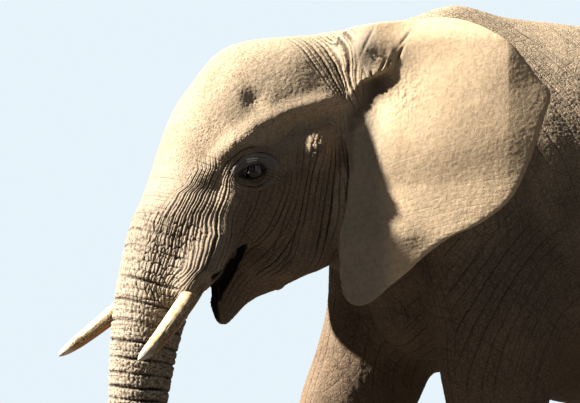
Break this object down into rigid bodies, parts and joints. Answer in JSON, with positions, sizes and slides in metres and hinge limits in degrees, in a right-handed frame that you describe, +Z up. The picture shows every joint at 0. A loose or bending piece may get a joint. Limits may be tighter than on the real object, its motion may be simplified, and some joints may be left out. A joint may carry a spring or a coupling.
{
  "type": "african bush elephant",
  "caption": "Still life-size elephant standing with its head in profile, ears spread, short curved tusks and its trunk hanging down.",
  "frame": {"origin": "on the floor, under the middle of the animal's bounding box", "axes": "+X runs from trunk to tail, -Y is the animal's left side, +Z is up"},
  "size_m": [3.9686, 1.4286, 2.5579],
  "materials": {
    "hide": "dry wrinkled hide with dust",
    "ear_skin": "thin dry hide with dust",
    "eye": "wet, dark brown",
    "tusk": "smooth ivory with stained cracks",
    "toenail": "worn horn",
    "tail_hair": "coarse dark hair"
  },
  "bodies": {
    "root": {"ear_left": "ear_skin", "ear_right": "ear_skin", "eye_left": "eye", "eye_right": "eye", "foot_front_left": "hide", "foot_front_right": "hide", "foot_hind_left": "hide", "foot_hind_right": "hide", "head": "hide", "leg_lower_front_left": "hide", "leg_lower_front_right": "hide", "leg_lower_hind_left": "hide", "leg_lower_hind_right": "hide", "leg_upper_front_left": "hide", "leg_upper_front_right": "hide", "leg_upper_hind_left": "hide", "leg_upper_hind_right": "hide", "lower_jaw": "hide", "neck": "hide", "tail": "hide", "tail_tuft": "tail_hair", "toenail_front_left_1": "toenail", "toenail_front_left_2": "toenail", "toenail_front_left_3": "toenail", "toenail_front_left_4": "toenail", "toenail_front_right_1": "toenail", "toenail_front_right_2": "toenail", "toenail_front_right_3": "toenail", "toenail_front_right_4": "toenail", "toenail_hind_left_1": "toenail", "toenail_hind_left_2": "toenail", "toenail_hind_left_3": "toenail", "toenail_hind_right_1": "toenail", "toenail_hind_right_2": "toenail", "toenail_hind_right_3": "toenail", "torso": "hide", "trunk_lower": "hide", "trunk_middle": "hide", "trunk_tip": "hide", "trunk_upper": "hide", "tusk_left": "tusk", "tusk_right": "tusk"}
  },
  "joints": []
}
